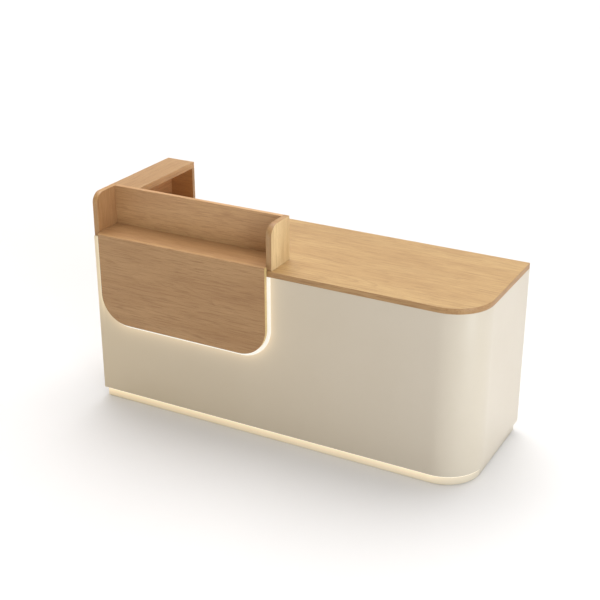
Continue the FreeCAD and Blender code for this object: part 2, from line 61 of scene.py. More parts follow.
# How strongly the light strips wash the lacquer, and the metres over which a wash falls to 1/e
WASH_NEAR = 0.24
WASH_NEAR_REACH = 0.024
WASH_FAR = 0.05
WASH_FAR_REACH = 0.075
WASH_BESIDE = 0.18
WASH_PLINTH = 0.65
WASH_PLINTH_REACH = 0.11

# Edges sharper than this many degrees are eased on boards and stay crisp on fittings
SHARP_ANGLE = 40


# ---------------------------------------------------------------- shader building blocks

class Graph:
    """A short way to write a material's nodes."""

    def __init__(self, name):
        self.material = bpy.data.materials.new(name)
        self.material.use_nodes = True
        self.tree = self.material.node_tree
        self.tree.nodes.clear()
        self.out = self.tree.nodes.new("ShaderNodeOutputMaterial")
        self.shader = self.tree.nodes.new("ShaderNodeBsdfPrincipled")
        self.tree.links.new(self.shader.outputs[0], self.out.inputs["Surface"])

    def put(self, socket, value):
        """Link an output to a socket, or set the socket's own value."""
        if isinstance(value, bpy.types.NodeSocket):
            self.tree.links.new(value, socket)
        else:
            socket.default_value = value

    def node(self, kind, inputs=None, **settings):
        made = self.tree.nodes.new("ShaderNode" + kind)
        for key, value in settings.items():
            setattr(made, key, value)
        for key, value in (inputs or {}).items():
            self.put(made.inputs[key], value)
        return made

    def math(self, operation, a, b=0.0):
        return self.node("Math", {0: a, 1: b}, operation=operation).outputs[0]

    def vector(self, operation, a, b=(0.0, 0.0, 0.0)):
        return self.node("VectorMath", {0: a, 1: b}, operation=operation).outputs[0]

    def noise(self, vector, scale, detail=3.0, rough=0.55):
        inputs = {"Vector": vector, "Scale": scale, "Detail": detail, "Roughness": rough}
        return self.node("TexNoise", inputs).outputs["Fac"]

    def band(self, value, low, high, out_low=0.0, out_high=1.0, smooth=True):
        """Remap a value, clamped, from low..high to out_low..out_high."""
        kind = "SMOOTHSTEP" if smooth else "LINEAR"
        inputs = {"Value": value, "From Min": low, "From Max": high, "To Min": out_low, "To Max": out_high}
        return self.node("MapRange", inputs, interpolation_type=kind).outputs["Result"]

    def mix(self, factor, a, b, blend="MIX"):
        made = self.node("Mix", data_type="RGBA", blend_type=blend)
        self.put(made.inputs["Factor"], factor)
        self.put(made.inputs["A"], a)
        self.put(made.inputs["B"], b)
        return made.outputs["Result"]

    def bump(self, height, strength, distance):
        inputs = {"Height": height, "Strength": strength, "Distance": distance}
        self.put(self.shader.inputs["Normal"], self.node("Bump", inputs).outputs[0])

    def place(self):
        return self.node("TexCoord").outputs["Object"]

    def split(self, vector):
        """A vector's X, Y and Z outputs."""
        return self.node("SeparateXYZ", {0: vector}).outputs

    def normal(self):
        """The X, Y and Z outputs of the direction that the surface faces."""
        return self.split(self.node("TexCoord").outputs["Normal"])

    def set(self, **values):
        for key, value in values.items():
            self.put(self.shader.inputs[key.replace("_", " ")], value)


def rgb(r, g, b):
    return (r, g, b, 1.0)


def grain_space(graph, axis, offset):
    """Object coordinates turned so that X runs along the grain, also on the faces across it."""
    where = graph.node("TexCoord")
    place = graph.split(graph.vector("ADD", where.outputs["Object"], offset))
    facing = graph.split(where.outputs["Normal"])
    others = [k for k in "XYZ" if k != axis]
    along, side, deep = place[axis], place[others[0]], place[others[1]]
    is_end = graph.math("GREATER_THAN", graph.math("ABSOLUTE", facing[axis]), 0.7)
    swap_a = graph.node("Mix", {"Factor": is_end, "A": along, "B": side}, data_type="FLOAT").outputs[0]
    swap_b = graph.node("Mix", {"Factor": is_end, "A": side, "B": along}, data_type="FLOAT").outputs[0]
    return graph.node("CombineXYZ", {0: swap_a, 1: swap_b, 2: deep}).outputs[0]


def scaled(graph, vector, scale):
    return graph.vector("MULTIPLY", vector, scale)


GLOW = rgb(1.0, 0.76, 0.46)
GLOW_BESIDE = rgb(1.0, 0.91, 0.63)
GLOW_RIM = rgb(1.0, 0.96, 0.42)
OAK_LIGHT = rgb(0.475, 0.298, 0.141)
OAK_MID = rgb(0.420, 0.250, 0.112)
OAK_DARK = rgb(0.257, 0.130, 0.050)
OAK_PORE = rgb(0.150, 0.070, 0.026)


def rim_wash(g, strength):
    """Light from the strip on the narrow edges at the sides and below."""
    normal = g.normal()
    is_edge = g.band(g.math("ABSOLUTE", normal["Y"]), 0.75, 0.45)
    rim = g.math("MULTIPLY", is_edge, g.band(normal["Z"], 0.6, 0.3))
    g.set(Emission_Color=GLOW_RIM, Emission_Strength=g.math("MULTIPLY", rim, strength))


def paint_facing_light(g, tone, face, tint):
    """Paint light or shade into the faces that look along face, such as "Z" for top and underside or "+X" for
    one side, by multiplying their tone by tint.
    """
    facing = g.normal()[face[-1]]
    if face[0] == "-":
        facing = g.math("MULTIPLY", facing, -1.0)
    elif face[0] != "+":
        facing = g.math("ABSOLUTE", facing)
    is_face = g.band(facing, 0.6, 0.95)
    return g.mix(1.0, tone, g.mix(is_face, rgb(1.0, 1.0, 1.0), rgb(*tint)), "MULTIPLY")


def oak(name, axis, offset, tint=(1.0, 1.0, 1.0), figure=1.0, face=None, facing_light_tint=(1.0, 1.0, 1.0),
        rim_light=None):
    """Satin lacquered oak: drifting tone, faint cathedral figure, short streaks and open pores.

    The faces named by face get painted light or shade, lighter or darker than the rest by their own tint, and
    rim_light is how strongly the light strip washes the narrow edges.
    """
    g = Graph(name)
    space = grain_space(g, axis, offset)
    sway = g.noise(scaled(g, space, (2.2, 7.0, 7.0)), 1.0, 2.0)
    part = g.split(space)
    bend = g.math("MULTIPLY", g.math("SUBTRACT", sway, 0.5), 0.010)
    bent_y = g.math("ADD", part["Y"], bend)
    bent_z = g.math("ADD", part["Z"], bend)
    wavy = g.node("CombineXYZ", {0: part["X"], 1: bent_y, 2: bent_z}).outputs[0]
    drift = g.noise(scaled(g, wavy, (1.6, 8.0, 8.0)), 1.0, 2.0)
    contour = g.noise(scaled(g, wavy, (1.1, 7.0, 7.0)), 1.0, 1.0, 0.4)
    rings = g.math("FRACT", g.math("MULTIPLY", contour, 17.0))
    late = g.math("MULTIPLY", g.band(rings, 0.50, 0.95), g.band(rings, 1.0, 0.95))
    broken = g.band(g.noise(scaled(g, wavy, (9.0, 60.0, 60.0)), 1.0, 2.0), 0.45, 0.65)
    stripe = g.noise(scaled(g, wavy, (3.0, 70.0, 70.0)), 1.0, 3.0, 0.62)
    streak = g.noise(scaled(g, wavy, (9.0, 300.0, 300.0)), 1.0, 2.0, 0.55)
    fibre = g.noise(scaled(g, wavy, (26.0, 900.0, 900.0)), 1.0, 2.0, 0.6)
    pore = g.band(g.noise(scaled(g, wavy, (70.0, 1900.0, 1900.0)), 1.0, 1.0, 0.5), 0.63, 0.70)
    pores = g.math("MULTIPLY", pore, g.band(rings, 0.15, 0.55, 1.0, 0.40))
    tone = g.mix(g.band(drift, 0.34, 0.66), OAK_MID, OAK_LIGHT)
    tone = g.mix(g.math("MULTIPLY", g.math("MULTIPLY", late, broken), 0.30 * figure), tone, OAK_DARK)
    tone = g.mix(g.math("MULTIPLY", g.band(stripe, 0.42, 0.75), 0.20 * figure), tone, OAK_DARK)
    tone = g.mix(g.math("MULTIPLY", g.band(streak, 0.48, 0.68), 0.46 * figure), tone, OAK_DARK)
    tone = g.mix(g.math("MULTIPLY", g.band(fibre, 0.40, 0.70), 0.22), tone, OAK_DARK)
    tone = g.mix(g.math("MULTIPLY", pores, 0.50), tone, OAK_PORE)
    # Each board's tint; on the boards of the display box it is partly painted light and shade
    tone = g.mix(1.0, tone, rgb(*tint), "MULTIPLY")
    if rim_light is not None:
        rim_wash(g, rim_light)
    # Painted light or shade: the faces named by face are made lighter or darker, as those faces catch more or
    # less light
    if face is not None:
        tone = paint_facing_light(g, tone, face, facing_light_tint)
    rough = g.math("ADD", g.math("MULTIPLY", streak, 0.10), 0.42)
    g.set(Base_Color=tone, Roughness=rough, IOR=1.48, Specular_IOR_Level=0.40)
    g.set(Coat_Weight=0.10, Coat_Roughness=0.34)
    height = g.math("SUBTRACT", g.math("MULTIPLY", fibre, 0.35), pores)
    g.bump(height, 0.22, 0.00025)
    return g.material


CREAM = rgb(0.578, 0.512, 0.416)
CREAM_SHADE = rgb(0.566, 0.499, 0.402)
CREAM_PAINTED_WARM_LIGHT = rgb(0.560, 0.458, 0.312)


def orange_peel(g, strength=0.10):
    """The faint dimpling of sprayed satin lacquer."""
    place = g.place()
    peel = g.noise(place, 420.0, 2.0, 0.5)
    broad = g.noise(place, 38.0, 2.0, 0.5)
    g.bump(g.math("ADD", peel, g.math("MULTIPLY", broad, 0.6)), strength, 0.0002)
    return place, broad


def cream_base(g, place, broad, warm_from=None, warm_to=None):
    """Cream lacquer whose tone drifts a little, with satin sheen.

    Warm light is painted into the long front's colour, more and more from x = warm_from to x = warm_to.
    """
    cloud = g.noise(place, 3.5, 3.0)
    tone = g.mix(g.band(cloud, 0.3, 0.7), CREAM, CREAM_SHADE)
    # Painted warm light, growing towards x = warm_to
    if warm_from is not None:
        along = g.split(place)["X"]
        tone = g.mix(g.band(along, warm_to, warm_from, 1.0, 0.0, smooth=False), tone, CREAM_PAINTED_WARM_LIGHT)
    rough = g.math("ADD", g.math("MULTIPLY", broad, 0.06), 0.34)
    g.set(Base_Color=tone, Roughness=rough, IOR=1.47, Specular_IOR_Level=0.5)
    g.set(Coat_Weight=0.5, Coat_Roughness=0.30)


def outline_distance(g, place):
    """Distance in metres outside the light strip's outline, for points on the painted front."""
    part = g.split(place)
    centre_x = (PANEL_LOW.x + PANEL_HIGH.x) / 2
    half_x = (PANEL_HIGH.x - PANEL_LOW.x) / 2 - PANEL_ROUND
    low_z = PANEL_LOW.z + PANEL_ROUND
    from_centre = g.math("ABSOLUTE", g.math("SUBTRACT", part["X"], centre_x))
    out_x = g.math("MAXIMUM", g.math("SUBTRACT", from_centre, half_x), 0.0)
    out_z = g.math("MAXIMUM", g.math("SUBTRACT", low_z, part["Z"]), 0.0)
    square = g.math("ADD", g.math("MULTIPLY", out_x, out_x), g.math("MULTIPLY", out_z, out_z))
    away = g.math("SUBTRACT", g.math("SQRT", square), PANEL_ROUND + LIGHT_MARGIN)
    return g.math("MAXIMUM", away, 0.0)


def faces_front(g):
    """1 on faces that look at the customer, 0 on all others."""
    return g.math("LESS_THAN", g.normal()["Y"], -0.05)


def cream_lit(name):
    """Cream lacquer that also carries the light thrown on it by the strip round the oak panel.

    The narrow margin beside the panel's left edge catches the most.
    """
    g = Graph(name)
    place, broad = orange_peel(g)
    cream_base(g, place, broad, FRONT_HIGH.x, FRONT_LOW.x)
    away = outline_distance(g, place)
    near = g.math("EXPONENT", g.math("MULTIPLY", away, -1.0 / WASH_NEAR_REACH))
    far = g.math("EXPONENT", g.math("MULTIPLY", away, -1.0 / WASH_FAR_REACH))
    glow = g.math("ADD", g.math("MULTIPLY", near, WASH_NEAR), g.math("MULTIPLY", far, WASH_FAR))
    along = g.split(place)["X"]
    beside = g.math("MULTIPLY", near, g.band(along, PANEL_LOW.x, PANEL_LOW.x - LIGHT_MARGIN))
    glow = g.math("ADD", glow, g.math("MULTIPLY", beside, WASH_BESIDE))
    colour = g.mix(beside, GLOW, GLOW_BESIDE)
    g.set(Emission_Color=colour, Emission_Strength=g.math("MULTIPLY", glow, faces_front(g)))
    return g.material


def cream(name):
    g = Graph(name)
    place, broad = orange_peel(g)
    cream_base(g, place, broad)
    return g.material


def plinth_lit(name, fade_x=None):
    """Plinth lacquer washed from above by the strip under the body; past fade_x the wash dies away."""
    g = Graph(name)
    place, broad = orange_peel(g)
    cream_base(g, place, broad, FRONT_HIGH.x, FRONT_LOW.x)
    part = g.split(place)
    height = g.band(part["Z"], PLINTH_LOW.z, PLINTH_HIGH.z, 0.55, 1.0, smooth=False)
    wash = g.math("POWER", height, 1.6)
    if fade_x is not None:
        away = g.math("MAXIMUM", g.math("SUBTRACT", part["X"], fade_x), 0.0)
        fade = g.math("EXPONENT", g.math("MULTIPLY", away, -1.0 / WASH_PLINTH_REACH))
        wash = g.math("MULTIPLY", wash, fade)
    wash = g.math("MULTIPLY", wash, faces_front(g))
    strength = g.math("MULTIPLY", wash, WASH_PLINTH)
    g.set(Emission_Color=rgb(1.0, 0.82, 0.52), Emission_Strength=strength)
    return g.material


def diffuser(name, colour, strength):
    """Opal silicone, lit from within by closely spaced lamps."""
    g = Graph(name)
    place = g.place()
    lamps = g.noise(place, 60.0, 1.0)
    g.set(Base_Color=rgb(0.52, 0.51, 0.49), Roughness=0.5, Emission_Color=colour)
    g.set(Emission_Strength=g.band(lamps, 0.2, 0.8, strength * 0.94, strength * 1.06))
    return g.material


def faced_board(name, colour=(0.80, 0.77, 0.71)):
    """Warm white melamine faced board with a fine pearl texture."""
    g = Graph(name)
    place = g.place()
    pearl = g.noise(place, 900.0, 2.0, 0.6)
    cloud = g.noise(place, 5.0, 2.0)
    tone = g.mix(g.band(cloud, 0.3, 0.7), rgb(*colour), rgb(*[c * 0.96 for c in colour]))
    g.set(Base_Color=tone, Roughness=g.band(pearl, 0.3, 0.7, 0.42, 0.52), Specular_IOR_Level=0.4)
    g.bump(pearl, 0.18, 0.0001)
    return g.material


def birch(name, axis, offset):
    """Clear lacquered birch plywood for the drawer boxes."""
    g = Graph(name)
    space = grain_space(g, axis, offset)
    drift = g.noise(scaled(g, space, (1.5, 7.0, 7.0)), 1.0, 2.0)
    line = g.noise(scaled(g, space, (4.0, 160.0, 160.0)), 1.0, 3.0)
    tone = g.mix(g.band(drift, 0.3, 0.7), rgb(0.78, 0.62, 0.41), rgb(0.70, 0.53, 0.33))
    tone = g.mix(g.math("MULTIPLY", g.band(line, 0.45, 0.75), 0.35), tone, rgb(0.52, 0.36, 0.20))
    g.set(Base_Color=tone, Roughness=g.band(line, 0.2, 0.8, 0.38, 0.50), Specular_IOR_Level=0.4)
    g.bump(line, 0.12, 0.0001)
    return g.material


def metal(name, colour, rough, brush_axis="X", brush=0.10):
    """Metal with fine brushing along one axis."""
    g = Graph(name)
    scale = [700.0, 700.0, 700.0]
    scale["XYZ".index(brush_axis)] = 12.0
    lines = g.noise(scaled(g, g.place(), tuple(scale)), 1.0, 3.0)
    spots = g.noise(g.place(), 30.0, 2.0)
    tone = g.mix(g.band(spots, 0.3, 0.7), rgb(*colour), rgb(*[c * 0.9 for c in colour]))
    g.set(Base_Color=tone, Metallic=1.0)
    g.set(Roughness=g.math("ADD", g.math("MULTIPLY", lines, brush), rough))
    g.bump(lines, 0.05, 0.00005)
    return g.material


def plastic(name, colour, rough=0.5):
    """Moulded plastic with a fine spark eroded texture."""
    g = Graph(name)
    place = g.place()
    grit = g.noise(place, 1400.0, 2.0, 0.6)
    cloud = g.noise(place, 20.0, 2.0)
    tone = g.mix(g.band(cloud, 0.3, 0.7), rgb(*colour), rgb(*[c * 1.15 for c in colour]))
    g.set(Base_Color=tone, Roughness=g.band(grit, 0.3, 0.7, rough - 0.06, rough + 0.06))
    g.bump(grit, 0.25, 0.0001)
    return g.material


# ---------------------------------------------------------------- materials on the CAD nodes

FINISHES = {
    "white_board": faced_board("faced_board"),
    "handle_metal": metal("champagne_handle", (0.62, 0.55, 0.44), 0.28),
    "zinc_steel": metal("zinc_steel", (0.62, 0.63, 0.65), 0.30, "Y"),
    "lock_chrome": metal("lock_chrome", (0.72, 0.72, 0.73), 0.12, "Y", 0.05),
    "dark_plastic": plastic("black_plastic", (0.025, 0.025, 0.027)),
    "driver_plastic": plastic("driver_plastic", (0.72, 0.72, 0.70)),
}


def paint(node, material):
    """Give a CAD node one material."""
    mesh = NODES[node].data
    mesh.materials.clear()
    mesh.materials.append(material)


def paint_display_box():
    """The oak worktop and the boards that stand on it, each with its own grain; each board's tint is partly
    its own tone and partly painted light and shade, and some have faces painted lighter or darker as light
    falls on them.
    """
    paint("worktop", oak("oak_worktop", "X", (0.0, 0.0, 0.0), (0.92, 0.88, 0.80), 1.30,
                         "Z", (1.09, 1.20, 1.21)))
    paint("left_wing", oak("oak_left_wing", "Z", (3.1, 1.7, 0.4), (1.02, 0.96, 0.87), 1.0,
                           "X", (0.98, 0.93, 0.98)))
    paint("right_wing", oak("oak_right_wing", "Z", (7.3, 2.9, 1.1), (0.90, 0.86, 0.82), 1.0,
                            "X", (1.90, 2.4, 2.95)))
    paint("display_shelf", oak("oak_shelf", "X", (1.9, 5.3, 2.2), (0.83, 0.77, 0.74)))
    paint("display_back", oak("oak_display_back", "X", (4.7, 8.1, 3.9), (1.20, 1.17, 1.19)))
    paint("ledge_side_board", oak("oak_ledge_side", "Y", (2.3, 0.9, 6.1), (0.98, 0.88, 0.84), 1.0,
                                  "+X", (1.33, 1.19, 1.15)))
    paint("ledge_top", oak("oak_ledge_top", "Y", (5.9, 3.3, 1.2), (0.89, 0.86, 0.83), 1.0,
                           "X", (1.27, 1.18, 1.06)))
    paint("ledge_back_board", oak("oak_ledge_back", "X", (8.8, 4.1, 2.7), (0.95, 0.87, 0.80), 1.0,
                                  "-Y", (1.25, 1.06, 0.91)))


def paint_fronts():
    """The oak front panel, the tray, the drawer fronts and the door."""
    paint("oak_front_panel", oak("oak_front", "X", (6.4, 7.7, 5.0), (0.94, 0.89, 0.85), 1.1,
                                 rim_light=0.23))
    paint("keyboard_tray", oak("oak_tray", "X", (9.2, 1.3, 4.4)))
    same_veneer = (2.6, 6.6, 3.3)
    paint("upper_drawer_front", oak("oak_upper_front", "X", same_veneer))
    paint("lower_drawer_front", oak("oak_lower_front", "X", same_veneer))
    paint("cupboard_door", oak("oak_door", "X", same_veneer))


def paint_body():
    """The lacquered body and plinth, and the two light strips."""
    body = cream("cream_body")
    paint("front_panel", cream_lit("cream_front_lit"))
    for node in ("corner_panel", "right_end_panel", "left_end_panel", "plinth_left", "plinth_right",
                 "plinth_back"):
        paint(node, body)
    paint("plinth_front", plinth_lit("plinth_washed"))
    paint("plinth_corner", plinth_lit("plinth_washed_corner", PLINTH_HIGH.x))
    paint("halo_light", diffuser("halo_diffuser", rgb(1.0, 0.96, 0.84), 0.50))
    paint("plinth_light", diffuser("plinth_diffuser", rgb(1.0, 0.88, 0.66), 0.75))


def paint_inside():
    """Drawer boxes, carcass boards and hardware, each by its slot."""
    for number, node in enumerate(n for n, s in SLOT_OF.items() if s == "drawer_wood"):
        axis = "Y" if node.endswith("sides") else "X"
        paint(node, birch("birch_" + node, axis, (number * 1.3, number * 0.7, number * 0.4)))
    for node, slot in SLOT_OF.items():
        if slot in FINISHES:
            paint(node, FINISHES[slot])


def join(node):
    """Join the faces of a CAD node along their shared edges."""
    weld = NODES[node].modifiers.new("join", "WELD")
    weld.merge_threshold = 0.00002


def ease(node, width):
    """Eased edges, as on every real board."""
    bevel = NODES[node].modifiers.new("ease", "BEVEL")
    bevel.width = width
    bevel.segments = 2
    bevel.limit_method = "ANGLE"
    bevel.angle_limit = math.radians(SHARP_ANGLE)
    bevel.harden_normals = True


def ease_boards():
    """Join every board and handle into one skin, and ease the boards."""
    for node, slot in SLOT_OF.items():
        if slot == "oak":
            join(node)
            ease(node, 0.0012)
        elif slot in ("white_board", "drawer_wood"):
            join(node)
            ease(node, 0.0006)
        elif slot == "handle_metal":
            join(node)


# ---------------------------------------------------------------- small fittings

# Sizes of the CAD pieces that the fittings meet, in metres
HANDLE_HALF = 0.080
POST_INSET = 0.016
POST_R = 0.004
LEAF_T = 0.0012
HINGE_H = 0.070
RUNNER_GAUGE = 0.0012
SUPPORT_HALF = 0.006
BLOCK_SIDE = 0.025

# Sizes of the fittings themselves, in metres
BUMPER_INSET = 0.006
BUMPER_FROM_END = 0.03
PIN_HOLE_PITCH = 0.032
PIN_HOLE_R = 0.0025
HANGER_SCREW_DROP = 0.03
DRIVER_EDGE = 0.003
RIB_HALF = 0.0012
RIB_LIFT = 0.0010
RIB_EDGE = 0.006
COVER_LIFT = 0.0030
LUG_REACH = 0.012
LUG_HALF = 0.007
LUG_T = 0.0025


def standing(place, facing):
    """A matrix whose Z axis points along facing, with its origin at place."""
    matrix = Vector(facing).to_track_quat("Z", "Y").to_matrix().to_4x4()
    matrix.translation = Vector(place)
    return matrix


def ring(mesh, matrix, radius, height):
    """A circle of new points at one height."""
    steps = 24
    verts = []
    for step in range(steps):
        turn = 2 * math.pi * step / steps
        point = Vector((radius * math.cos(turn), radius * math.sin(turn), height))
        verts.append(mesh.verts.new(matrix @ point))
    return verts


def bridge(mesh, low, high):
    """A closed band of faces between two loops of points."""
    for here, after in zip(range(len(low)), [*range(1, len(low)), 0]):
        mesh.faces.new((low[here], low[after], high[after], high[here]))


def turned(mesh, place, facing, profile):
    """A solid of revolution from (radius, height) points, closed by a flat at each end."""
    matrix = standing(place, facing)
    rings = [ring(mesh, matrix, radius, height) for radius, height in profile]
    for low, high in zip(rings, rings[1:]):
        bridge(mesh, low, high)
    mesh.faces.new(rings[0])
    mesh.faces.new(rings[-1])


def collar(mesh, place, facing, profile):
    """A ring of revolution: the profile of (radius, height) points closes on itself."""
    matrix = standing(place, facing)
    rings = [ring(mesh, matrix, radius, height) for radius, height in profile]
    for low, high in zip(rings, rings[1:] + rings[:1]):
        bridge(mesh, low, high)


def screw(mesh, place, facing, radius=0.0035, height=0.0006):
    """A low screw head with a cross recess."""
    matrix = standing(place, facing)
    rim = ring(mesh, matrix, radius, 0.0)
    shoulder = ring(mesh, matrix, radius * 0.96, height * 0.6)
    crown = ring(mesh, matrix, radius * 0.78, height)
    bridge(mesh, rim, shoulder)
    bridge(mesh, shoulder, crown)
    mesh.faces.new(rim)
    arm, half = radius * 0.50, radius * 0.12
    outline = []
    for cos, sin in ((1, 0), (0, 1), (-1, 0), (0, -1)):
        for x, y in ((arm, -half), (arm, half), (half, half)):
            outline.append((x * cos - y * sin, x * sin + y * cos))
    lip = [mesh.verts.new(matrix @ Vector((x, y, height))) for x, y in outline]
    floor = [mesh.verts.new(matrix @ Vector((x, y, height * 0.25))) for x, y in outline]
    bridge(mesh, lip, floor)
    mesh.faces.new(floor)
    loops = []
    for verts in (crown, lip):
        for here, after in zip(verts, verts[1:] + verts[:1]):
            loops.append(mesh.edges.get((here, after)))
    bmesh.ops.triangle_fill(mesh, use_beauty=True, edges=loops)


def fitting(name, body, slot, build):
    """Make one piece with build(mesh), give it its slot's finish and let it ride on a body."""
    mesh = bmesh.new()
    build(mesh)
    bmesh.ops.recalc_face_normals(mesh, faces=mesh.faces)
    data = bpy.data.meshes.new(name)
    mesh.to_mesh(data)
    mesh.free()
    data.shade_smooth()
    data.set_sharp_from_angle(angle=math.radians(SHARP_ANGLE))
    data.materials.append(FINISHES[slot])
    piece = bpy.data.objects.new(name, data)
    bpy.context.scene.collection.objects.link(piece)
    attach(piece, body)


def at_each(make, places, facing, *details):
    """A build function that repeats one small shape at every place."""
    def build(mesh):
        for place in places:
            make(mesh, place, facing, *details)
    return build


def handle_posts(handle, y):
    """Where a bar handle's two posts meet a board's face at y."""
    low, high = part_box(handle)
    middle = (low + high) / 2
    reach = HANDLE_HALF - POST_INSET
    upright = high.z - low.z > high.x - low.x
    if upright:
        return [Vector((middle.x, y, middle.z + side * reach)) for side in (-1, 1)]
    return [Vector((middle.x + side * reach, y, middle.z)) for side in (-1, 1)]


def make_handle_fittings():
    """A rosette round each handle post, and the handle's screws on the inside of its front."""
    rosette = ((POST_R, 0.0), (0.0080, 0.0), (0.0080, 0.0010), (0.0074, 0.0016), (POST_R, 0.0022))
    for handle, front, body in (("upper_drawer_handle", "upper_drawer_front", "upper_drawer"),
                                ("lower_drawer_handle", "lower_drawer_front", "lower_drawer"),
                                ("door_handle", "cupboard_door", "cupboard_door")):
        low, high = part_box(front)
        outside = handle_posts(handle, high.y)
        inside = handle_posts(handle, low.y)
        fitting(handle + "_rosettes", body, "handle_metal", at_each(collar, outside, (0, 1, 0), rosette))
        fitting(handle + "_screws", body, "zinc_steel", at_each(screw, inside, (0, -1, 0), 0.0045, 0.0008))


def make_bumpers():
    """Soft dots on the inside of the door and the drawer fronts, which close against the carcass."""
    dome = ((0.0040, 0.0), (0.0038, 0.0004), (0.0030, 0.0007), (0.0015, 0.00085), (0.0003, 0.0009))
    for front, body in (("upper_drawer_front", "upper_drawer"), ("lower_drawer_front", "lower_drawer"),
                        ("cupboard_door", "cupboard_door")):
        low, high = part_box(front)
        heights = (low.z + BUMPER_FROM_END, high.z - BUMPER_FROM_END)
        places = [Vector((low.x + BUMPER_INSET, low.y, z)) for z in heights]
        fitting(front + "_bumpers", body, "driver_plastic", at_each(turned, places, (0, -1, 0), dome))


def make_hinge_screws():
    """Three screws in each leaf of both hinges."""
    low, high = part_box("hinge_frame_leaves")
    door_low, door_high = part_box("cupboard_door")
    y = (door_low.y + door_high.y) / 2
    heights = [z0 + HINGE_H * part for z0 in (low.z, high.z - HINGE_H) for part in (0.18, 0.5, 0.82)]
    frame_places = [Vector((high.x - LEAF_T, y, z)) for z in heights]
    door_places = [Vector((door_high.x + LEAF_T, y, z)) for z in heights]
    fitting("hinge_frame_screws", "counter", "zinc_steel",
            at_each(screw, frame_places, (-1, 0, 0), 0.0033, 0.00025))
    fitting("hinge_door_screws", "cupboard_door", "zinc_steel",
            at_each(screw, door_places, (1, 0, 0), 0.0033, 0.00025))


def screw_rows(name, body, left, right, places):
    """The same screws on two upright faces; left and right are each (the face's x, the way it looks)."""
    for side, (x, looks) in (("left", left), ("right", right)):
        heads = [Vector((x, y, z)) for y, z in places]
        fitting(name + "_" + side, body, "zinc_steel", at_each(screw, heads, (looks, 0, 0)))


def make_runner_screws():
    """Screws through the web of every runner channel, and through every slide into what it carries."""
    for node in ("tray_runner_channels", "upper_runner_channels", "lower_runner_channels"):
        low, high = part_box(node)
        z = (low.z + high.z) / 2
        places = [(low.y + (high.y - low.y) * part, z) for part in (0.12, 0.52, 0.92)]
        left, right = (low.x + RUNNER_GAUGE, 1), (high.x - RUNNER_GAUGE, -1)
        screw_rows(node + "_screws", "counter", left, right, places)
    for node, carried, body in (("tray_runner_slides", "keyboard_tray", "keyboard_tray"),
                                ("upper_runner_slides", "upper_drawer_sides", "upper_drawer"),
                                ("lower_runner_slides", "lower_drawer_sides", "lower_drawer")):
        low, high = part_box(node)
        carried_low, carried_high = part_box(carried)
        z = (low.z + high.z) / 2
        places = [(low.y + (high.y - low.y) * part, z) for part in (0.08, 0.36, 0.64, 0.92)]
        left, right = (carried_low.x - RUNNER_GAUGE, -1), (carried_high.x + RUNNER_GAUGE, 1)
        screw_rows(node + "_screws", body, left, right, places)


def make_drawer_screws():
    """Screws through the drawer sides into the back board, above and below the runner."""
    for name in ("upper", "lower"):
        low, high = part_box(name + "_drawer_sides")
        back_low, back_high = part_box(name + "_drawer_back")
        y = (back_low.y + back_high.y) / 2
        places = [(y, low.z + (high.z - low.z) * part) for part in (0.14, 0.86)]
        screw_rows(name + "_drawer_screws", name + "_drawer", (low.x, -1), (high.x, 1), places)


def make_pin_holes():
    """Two rows of sleeved shelf pin holes in each side of the cupboard, each hole a thin dark disc of painted
    shade.
    """
    support_low, support_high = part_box("shelf_supports")
    shelf_low, shelf_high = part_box("cupboard_shelf")
    sleeve = ((PIN_HOLE_R, 0.0), (0.0036, 0.0), (0.0034, 0.0003), (PIN_HOLE_R, 0.0004))
    # A thin dark disc in each hole: painted shade for the inside of the hole
    hole_shade_disc = ((PIN_HOLE_R, 0.0), (PIN_HOLE_R, 0.0001))
    heights = []
    for step in range(-6, 8):
        height = support_high.z - SUPPORT_HALF + step * PIN_HOLE_PITCH
        hidden_by_shelf = shelf_low.z - 0.016 < height < shelf_high.z + 0.004
        if not hidden_by_shelf:
            heights.append(height)
    for side, x, facing in (("left", support_low.x, (1, 0, 0)), ("right", support_high.x, (-1, 0, 0))):
        places = []
        for y in (support_low.y + SUPPORT_HALF, support_high.y - SUPPORT_HALF):
            places += [Vector((x, y, z)) for z in heights]
        fitting("pin_sleeves_" + side, "counter", "zinc_steel", at_each(collar, places, facing, sleeve))
        fitting("pin_hole_shade_discs_" + side, "counter", "dark_plastic", at_each(turned, places, facing, hole_shade_disc))


def make_block_screws():
    """One screw up through each fixing block, and two through each tray hanger."""
    low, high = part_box("corner_blocks")
    half = BLOCK_SIDE / 2
    knee_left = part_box("knee_partition")[0].x
    cupboard_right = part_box("cupboard_partition")[1].x
    centres = (low.x + half, knee_left - half, cupboard_right + half, high.x - half)
    places = [Vector((x, y, low.z)) for x in centres for y in (low.y + half, high.y - half)]
    fitting("corner_block_screws", "counter", "zinc_steel", at_each(screw, places, (0, 0, -1), 0.004, 0.0008))
    hang_low, hang_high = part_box("tray_hangers")
    depth = hang_high.y - hang_low.y
    places = [(hang_low.y + depth * part, hang_high.z - HANGER_SCREW_DROP) for part in (0.2, 0.8)]
    screw_rows("hanger_screws", "counter", (hang_low.x, -1), (hang_high.x, 1), places)


def eased_block(mesh, low, high, ease_by):
    """A box between two corners with rounded edges."""
    made = bmesh.ops.create_cube(mesh, size=1.0)["verts"]
    for vert in made:
        for axis in range(3):
            vert.co[axis] = high[axis] if vert.co[axis] > 0 else low[axis]
    edges = {edge for vert in made for edge in vert.link_edges}
    bmesh.ops.bevel(mesh, geom=list(edges), offset=ease_by, segments=3, profile=0.5, affect="EDGES")


